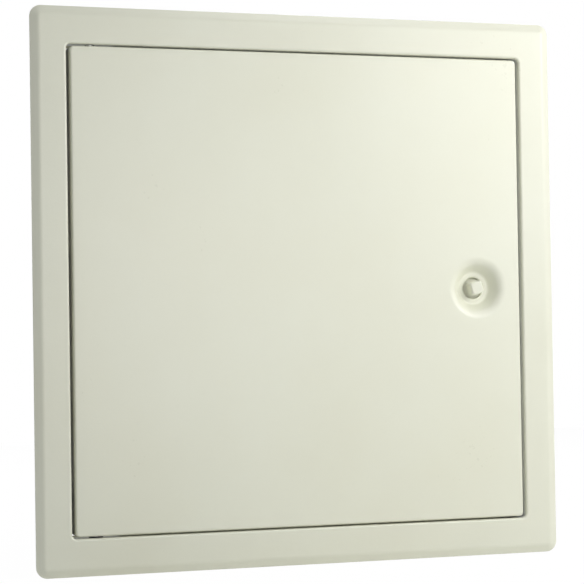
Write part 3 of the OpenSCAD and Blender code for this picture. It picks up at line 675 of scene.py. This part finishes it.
def make_fixings():
    """Fixing straps with soft edges: p = (1 - s) (c + rho d) + s (e + off n), c the centre of the hole, d a ray
    from it, e and n the outline and its normal. Rivets with domes r = 1.9 sin a, h = 0.9 cos a turned about x.
    Foam pads: p = s e + off n, with their edges rounded."""
    low, high = extent("strap_upper_right")
    half = 11.0
    inner, outer, hole_y = low[0], high[0], high[1] - half
    z_mid = (low[2] + high[2]) / 2
    edge = rounded([(low[1], -half, 0.8), (high[1], -half, half), (high[1], half, half),
                    (low[1], half, 0.8)], 16, 0.0)
    normal = outward(edge)
    centre = np.array([hole_y, 0])
    ray = (edge - centre) / np.linalg.norm(edge - centre, axis=1)[:, None]
    b = np.linspace(0, np.pi / 2, 4)
    soft, hole = 0.25, 2.6
    rows = table_rows(
        (0, hole + soft - soft * np.sin(b), 0, outer - soft + soft * np.cos(b)),
        (0, hole + soft - soft * np.cos(b), 0, inner + soft - soft * np.sin(b)),
        (0, 3.1, 0, inner), (1, 0, -0.6, inner),
        (1, 0, soft * np.sin(b) - soft, inner + soft - soft * np.cos(b)),
        (1, 0, soft * np.cos(b) - soft, outer - soft + soft * np.sin(b)),
        (1, 0, -0.6, outer), (0, 3.1, 0, outer))
    s, rho, off, x = rows.T[:, :, None, None]
    flat = (1 - s) * (centre + rho * ray) + s * (edge + off * normal)
    plate = np.concatenate([np.broadcast_to(x, flat.shape[:2] + (1,)), flat], axis=2)
    for name, side in (("upper_right", 1), ("lower_right", 1), ("upper_left", -1), ("lower_left", -1)):
        low, high = extent("strap_" + name)
        lift = np.array([0, 0, (low[2] + high[2]) / 2])
        add_piece("fixing_strap_" + name, [(plate * [side, 1, 1] + lift, True)],
                  "strap_zinc", "frame", "strap_" + name)
    low, high = extent("strap_rivets")
    a = np.linspace(0, np.pi / 2, 8)
    wall = inner - 1.0
    dome = table_rows((1.9 * np.sin(a), wall - 0.9 * np.cos(a)), (1.2, [wall, outer]),
                      (1.9 * np.sin(a[::-1]), outer + 0.9 * np.cos(a[::-1])))
    y = (low[1] + high[1]) / 2
    one = turned(dome, 28, "x", (0, y, 0))
    places = [(sx, sz * z_mid + rz * 5.5) for sx in (1, -1) for sz in (1, -1) for rz in (1, -1)]
    add_piece("domed_rivets", [(one * [sx, 1, 1] + np.array([0, 0, z]), False) for sx, z in places],
              "rivet_steel", "frame", "strap_rivets")
    low, high = extent("stop_pads")
    size, soft = 14.0, 0.6
    line, out = rect_loop(size / 2 - soft, size / 2 - soft, 0.8, (0, 0), 12, 5)
    b = np.linspace(0, np.pi / 2, 5)
    rows = table_rows((0, 0, low[1]), ([0.5, 0.97], 0, low[1]),
                      (1, soft * np.sin(b), low[1] + soft - soft * np.cos(b)),
                      (1, soft * np.cos(b), high[1] - soft + soft * np.sin(b)),
                      ([0.97, 0.5], 0, high[1]), (0, 0, high[1]))
    s, off, y = rows.T[:, :, None, None]
    flat = s * line + off * out
    pad = np.concatenate([flat[..., :1], np.broadcast_to(y, flat.shape[:2] + (1,)), flat[..., 1:]], axis=2)
    x = high[0] - size / 2
    add_piece("foam_pads", [(pad + np.array([x, 0, high[2] - size / 2]), False),
                            (pad + np.array([x, 0, low[2] + size / 2]), False)], "foam", "frame", "stop_pads")


make_door()
make_surround()
make_lock()
make_pivots()
make_spring()
make_fixings()


def set_camera():
    """Camera solved from the four corners of door and surround in the photograph."""
    focal_px, frame_px = 2001.4, 584.0
    turn = [math.radians(a) for a in (-1.402, -19.253, -0.909)]
    move = np.array([8.182, -1.917, 1268.8])
    cx, sx = math.cos(turn[0]), math.sin(turn[0])
    cy, sy = math.cos(turn[1]), math.sin(turn[1])
    cz, sz = math.cos(turn[2]), math.sin(turn[2])
    about_x = np.array([[1, 0, 0], [0, cx, -sx], [0, sx, cx]])
    about_y = np.array([[cy, 0, sy], [0, 1, 0], [-sy, 0, cy]])
    about_z = np.array([[cz, -sz, 0], [sz, cz, 0], [0, 0, 1]])
    look = about_z @ about_x @ about_y
    to_panel = np.array([[1, 0, 0], [0, 0, -1], [0, 1, 0]])
    place = to_panel.T @ (-look.T @ move) + np.array([0, FACE, 0])
    rows = look @ to_panel
    axes = np.stack([rows[0], -rows[1], -rows[2]], axis=1)
    data = bpy.data.cameras.new("camera")
    data.sensor_width = 36.0
    data.lens = focal_px / frame_px * data.sensor_width
    data.clip_start, data.clip_end = 0.01, 50.0
    camera = bpy.data.objects.new("camera", data)
    camera.matrix_world = Matrix.Translation(Vector(place * MM)) @ Matrix(axes.tolist()).to_4x4()
    bpy.context.scene.collection.objects.link(camera)
    bpy.context.scene.camera = camera


# Name, degrees to the right of the front, degrees up, metres away and watts of each lamp
LAMPS = (
    ("front_level", 8, 0, 0.7, 0.47),
    ("front_upper", 8, 14, 0.7, 0.26),
    ("key_low", 38, 14, 0.7, 0.60),
    ("key_high", 38, 28, 0.7, 0.55),
    ("side_right", 55, 20, 1.0, 2.95),
    ("top_right", 40, 60, 1.0, 1.64),
    ("rear_right", 150, 35, 1.6, 9.6),
    ("rear_left", -140, 15, 1.6, 7.2),
)


def add_softbox(name, turn, height, away, power):
    """Square soft lamp that faces the middle of the panel, 0.4 times as wide as it is far away."""
    data = bpy.data.lights.new(name, "AREA")
    data.shape = "SQUARE"
    data.size = 0.4 * away
    data.energy = power
    a, e = math.radians(turn), math.radians(height)
    place = away * Vector((math.sin(a) * math.cos(e), -math.cos(a) * math.cos(e), math.sin(e)))
    lamp = bpy.data.objects.new(name, data)
    lamp.location = place
    lamp.rotation_mode = "QUATERNION"
    lamp.rotation_quaternion = (-place).to_track_quat("-Z", "Y")
    bpy.context.scene.collection.objects.link(lamp)


def set_light():
    """White surroundings, soft lamps from the front, the right and above, and two from behind."""
    world = bpy.data.worlds.new("studio")
    f = Finish(world)
    dim = f.node("ShaderNodeBackground", None, {"Color": rgb(0.863, 0.911, 1), "Strength": 0.18})
    white = f.node("ShaderNodeBackground", None, {"Color": rgb(1, 1, 1), "Strength": 1.0})
    mix = f.node("ShaderNodeMixShader", None, {0: f.looked_at(), 1: dim, 2: white})
    f.node("ShaderNodeOutputWorld", None, {"Surface": mix})
    bpy.context.scene.world = world
    for lamp in LAMPS:
        add_softbox(*lamp)


def add_floor():
    """Pale floor under the lower edge, white to the camera but for a faint shadow."""
    f = material("pale_floor")
    board = f.node("ShaderNodeBsdfDiffuse", None, {"Color": rgb(0.85, 0.85, 0.84)})
    white = f.node("ShaderNodeEmission", None, {"Color": rgb(1, 1, 1), "Strength": 1.01})
    mix = f.node("ShaderNodeMixShader", None, {0: f.looked_at() * 0.97, 1: board, 2: white})
    f.node("ShaderNodeOutputMaterial", None, {"Surface": mix})
    low = cad_box[0].z
    mesh = bpy.data.meshes.new("floor")
    reach = 1.6
    mesh.from_pydata([(-reach, -reach, low), (reach, -reach, low), (reach, reach, low), (-reach, reach, low)],
                     [], [(0, 1, 2, 3)])
    mesh.materials.append(f.owner)
    floor = bpy.data.objects.new("floor", mesh)
    bpy.context.scene.collection.objects.link(floor)


set_camera()
set_light()
add_floor()
bpy.context.scene.view_settings.view_transform = "Standard"
